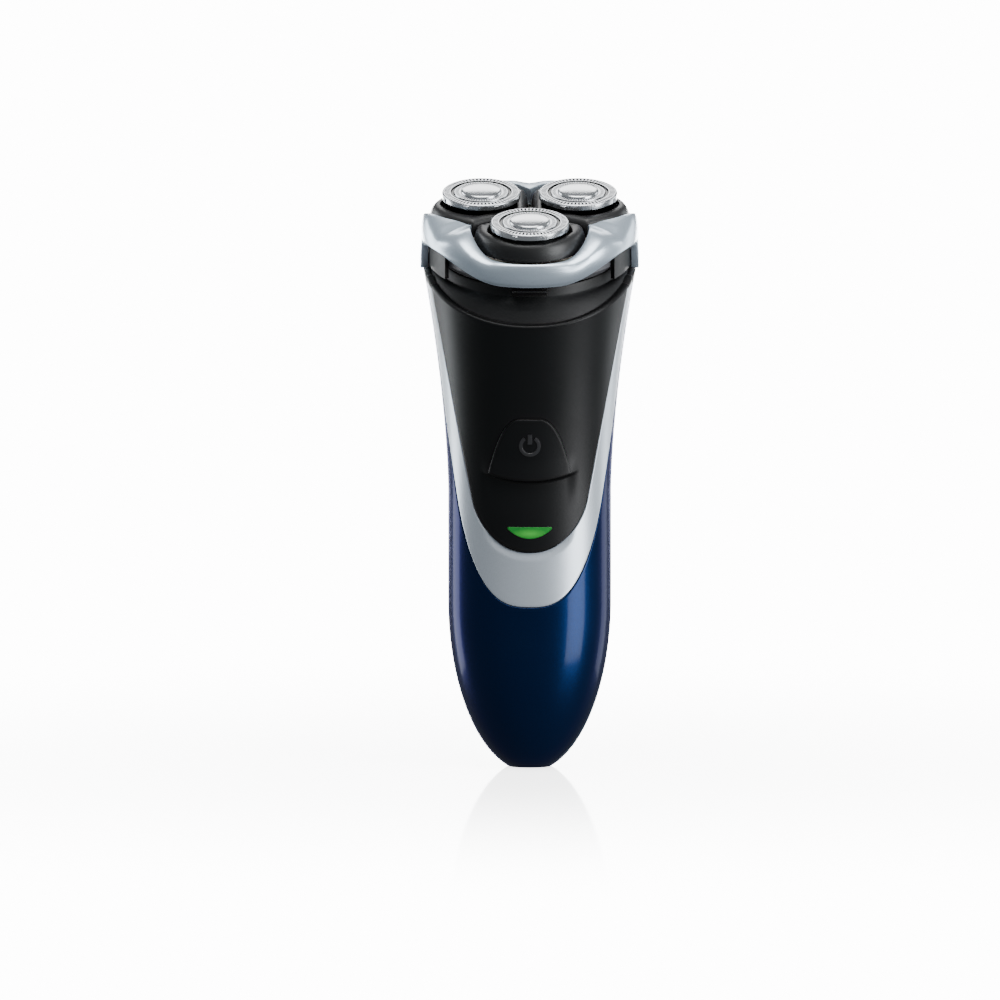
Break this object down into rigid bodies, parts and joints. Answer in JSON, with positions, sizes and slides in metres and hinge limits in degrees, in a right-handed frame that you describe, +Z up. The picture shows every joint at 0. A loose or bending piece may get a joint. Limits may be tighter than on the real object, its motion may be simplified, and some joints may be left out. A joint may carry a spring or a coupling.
{
  "type": "electric shaver",
  "caption": "Cordless rotary electric shaver with floating caps in tilting petals, a head that hinges open, push buttons and a pop-up trimmer.",
  "frame": {"origin": "centre of the flat foot at the bottom end of the handle", "axes": "+Z up the handle to the head, -Y the front with the power button, +X the right-hand side seen when looking along +Y"},
  "size_m": [0.0594, 0.0581, 0.1582],
  "materials": {
    "blue_shell": "glossy moulded ABS, deep metallic blue",
    "silver_paint": "satin silver lacquer over plastic",
    "black_gloss": "semi-gloss black",
    "black_plastic": "fine matt moulding texture",
    "petal_plastic": "satin black",
    "green_lens": "clear green light guide",
    "led": "green light emitting diode",
    "grey_plastic": "matt engineering plastic",
    "screw_steel": "zinc plated",
    "cell_wrap": "heat shrink sleeve",
    "circuit_board": "solder mask",
    "brass": "bright drawn",
    "motor_steel": "drawn can",
    "nylon": "natural nylon",
    "cap_steel": "polished and finely turned",
    "cutter_steel": "ground"
  },
  "bodies": {
    "handle": {"rear_housing": "blue_shell", "trim_band": "silver_paint", "front_panel": "black_gloss", "top_deck": "black_plastic", "led_lens": "green_lens", "chassis": "grey_plastic", "chassis_screw_1": "screw_steel", "chassis_screw_2": "screw_steel", "chassis_screw_3": "screw_steel", "chassis_screw_4": "screw_steel", "battery": "cell_wrap", "battery_contact_bottom": "screw_steel", "battery_contact_top": "screw_steel", "circuit_board": "circuit_board", "power_switch": "screw_steel", "status_led": "led", "inlet_socket": "black_plastic", "inlet_pin_left": "brass", "inlet_pin_right": "brass", "motor_can": "motor_steel", "motor_end_cap": "nylon", "gear_plate": "grey_plastic", "trimmer_housing": "black_plastic", "trimmer_pin": "screw_steel"},
    "power_key": {"power_button": "black_gloss"},
    "release_key": {"release_button": "black_plastic"},
    "rotor": {"motor_pinion": "brass", "motor_armature": "motor_steel"},
    "shaving_unit": {"shaving_frame": "silver_paint", "hair_chamber": "black_plastic", "retaining_frame": "grey_plastic", "hinge_pin": "screw_steel"},
    "frame_lock": {"lock_wheel": "grey_plastic"},
    "trimmer": {"trimmer_arm": "black_plastic", "trimmer_comb": "cutter_steel"},
    "trimmer_cutter": {"trimmer_blade": "cutter_steel"},
    "trimmer_switch": {"trimmer_slide": "black_plastic"},
    "gear_1": {"drive_gear_1": "nylon"},
    "spindle_1": {"drive_spindle_1": "nylon"},
    "petal_1": {"petal_1": "petal_plastic"},
    "cap_1": {"shaving_cap_1": "cap_steel", "centre_cap_1": "cap_steel"},
    "cutter_1": {"rotary_cutter_1": "cutter_steel"},
    "gear_2": {"drive_gear_2": "nylon"},
    "spindle_2": {"drive_spindle_2": "nylon"},
    "petal_2": {"petal_2": "petal_plastic"},
    "cap_2": {"shaving_cap_2": "cap_steel", "centre_cap_2": "cap_steel"},
    "cutter_2": {"rotary_cutter_2": "cutter_steel"},
    "gear_3": {"drive_gear_3": "nylon"},
    "spindle_3": {"drive_spindle_3": "nylon"},
    "petal_3": {"petal_3": "petal_plastic"},
    "cap_3": {"shaving_cap_3": "cap_steel", "centre_cap_3": "cap_steel"},
    "cutter_3": {"rotary_cutter_3": "cutter_steel"}
  },
  "joints": [
    {"name": "power_press", "type": "slide", "parent": "handle", "child": "power_key", "axis": [0, 1, 0], "range_m": [0, 0.0006], "stiffness_N_per_m": 900},
    {"name": "release_press", "type": "slide", "parent": "handle", "child": "release_key", "axis": [0, 1, 0], "range_m": [0, 0.0012], "stiffness_N_per_m": 600},
    {"name": "motor_spin", "type": "hinge", "parent": "handle", "child": "rotor", "pos_m": [0, 0.00473, 0.13101], "axis": [0, -0.2924, 0.9563], "continuous": true},
    {"name": "head_open", "type": "hinge", "parent": "handle", "child": "shaving_unit", "pos_m": [0, 0.02741, 0.14401], "axis": [-1, 0, 0], "range_deg": [0, 100]},
    {"name": "lock_turn", "type": "hinge", "parent": "shaving_unit", "child": "frame_lock", "pos_m": [0, 0.00034, 0.14535], "axis": [0, -0.2924, 0.9563], "range_deg": [0, 60]},
    {"name": "gear_spin_1", "type": "hinge", "parent": "handle", "child": "gear_1", "pos_m": [0, -0.00972, 0.12659], "axis": [0, -0.2924, 0.9563], "continuous": true},
    {"name": "spindle_float_1", "type": "slide", "parent": "gear_1", "child": "spindle_1", "axis": [0, -0.2924, 0.9563], "range_m": [-0.0012, 0], "stiffness_N_per_m": 150},
    {"name": "petal_tilt_1", "type": "hinge", "parent": "shaving_unit", "child": "petal_1", "pos_m": [0, -0.0079, 0.14492], "axis": [1, 0, 0], "range_deg": [-2.5, 2.5], "stiffness_Nm_per_rad": 0.12},
    {"name": "cap_float_1", "type": "slide", "parent": "petal_1", "child": "cap_1", "axis": [0, -0.2924, 0.9563], "range_m": [-0.0012, 0], "stiffness_N_per_m": 250},
    {"name": "cutter_spin_1", "type": "hinge", "parent": "cap_1", "child": "cutter_1", "pos_m": [0, -0.01556, 0.14572], "axis": [0, -0.2924, 0.9563], "continuous": true},
    {"name": "gear_spin_2", "type": "hinge", "parent": "handle", "child": "gear_2", "pos_m": [0.01308, 0.01195, 0.13321], "axis": [0, -0.2924, 0.9563], "continuous": true},
    {"name": "spindle_float_2", "type": "slide", "parent": "gear_2", "child": "spindle_2", "axis": [0, -0.2924, 0.9563], "range_m": [-0.0012, 0], "stiffness_N_per_m": 150},
    {"name": "petal_tilt_2", "type": "hinge", "parent": "shaving_unit", "child": "petal_2", "pos_m": [0.00693, 0.00358, 0.14843], "axis": [-0.5, 0.8282, 0.2532], "range_deg": [-2.5, 2.5], "stiffness_Nm_per_rad": 0.12},
    {"name": "cap_float_2", "type": "slide", "parent": "petal_2", "child": "cap_2", "axis": [0, -0.2924, 0.9563], "range_m": [-0.0012, 0], "stiffness_N_per_m": 250},
    {"name": "cutter_spin_2", "type": "hinge", "parent": "cap_2", "child": "cutter_2", "pos_m": [0.01308, 0.0061, 0.15234], "axis": [0, -0.2924, 0.9563], "continuous": true},
    {"name": "gear_spin_3", "type": "hinge", "parent": "handle", "child": "gear_3", "pos_m": [-0.01308, 0.01195, 0.13321], "axis": [0, -0.2924, 0.9563], "continuous": true},
    {"name": "spindle_float_3", "type": "slide", "parent": "gear_3", "child": "spindle_3", "axis": [0, -0.2924, 0.9563], "range_m": [-0.0012, 0], "stiffness_N_per_m": 150},
    {"name": "petal_tilt_3", "type": "hinge", "parent": "shaving_unit", "child": "petal_3", "pos_m": [-0.00693, 0.00358, 0.14843], "axis": [-0.5, -0.8282, -0.2532], "range_deg": [-2.5, 2.5], "stiffness_Nm_per_rad": 0.12},
    {"name": "cap_float_3", "type": "slide", "parent": "petal_3", "child": "cap_3", "axis": [0, -0.2924, 0.9563], "range_m": [-0.0012, 0], "stiffness_N_per_m": 250},
    {"name": "cutter_spin_3", "type": "hinge", "parent": "cap_3", "child": "cutter_3", "pos_m": [-0.01308, 0.0061, 0.15234], "axis": [0, -0.2924, 0.9563], "continuous": true},
    {"name": "trimmer_open", "type": "hinge", "parent": "handle", "child": "trimmer", "pos_m": [0, 0.0227, 0.12764], "axis": [1, 0, 0], "range_deg": [0, 85]},
    {"name": "trimmer_stroke", "type": "slide", "parent": "trimmer", "child": "trimmer_cutter", "axis": [1, 0, 0], "range_m": [-0.0008, 0.0008]},
    {"name": "trimmer_switch_slide", "type": "slide", "parent": "handle", "child": "trimmer_switch", "axis": [0, -0.1478, -0.989], "range_m": [0, 0.0042]}
  ],
  "couplings": [
    {"joint": "gear_spin_1", "follows": "motor_spin", "ratio": -0.66667},
    {"joint": "cutter_spin_1", "follows": "motor_spin", "ratio": -0.66667},
    {"joint": "spindle_float_1", "follows": "cap_float_1", "ratio": 1},
    {"joint": "gear_spin_2", "follows": "motor_spin", "ratio": -0.66667},
    {"joint": "cutter_spin_2", "follows": "motor_spin", "ratio": -0.66667},
    {"joint": "spindle_float_2", "follows": "cap_float_2", "ratio": 1},
    {"joint": "gear_spin_3", "follows": "motor_spin", "ratio": -0.66667},
    {"joint": "cutter_spin_3", "follows": "motor_spin", "ratio": -0.66667},
    {"joint": "spindle_float_3", "follows": "cap_float_3", "ratio": 1},
    {"joint": "trimmer_switch_slide", "follows": "trimmer_open", "m_per_rad": 0.002831}
  ]
}
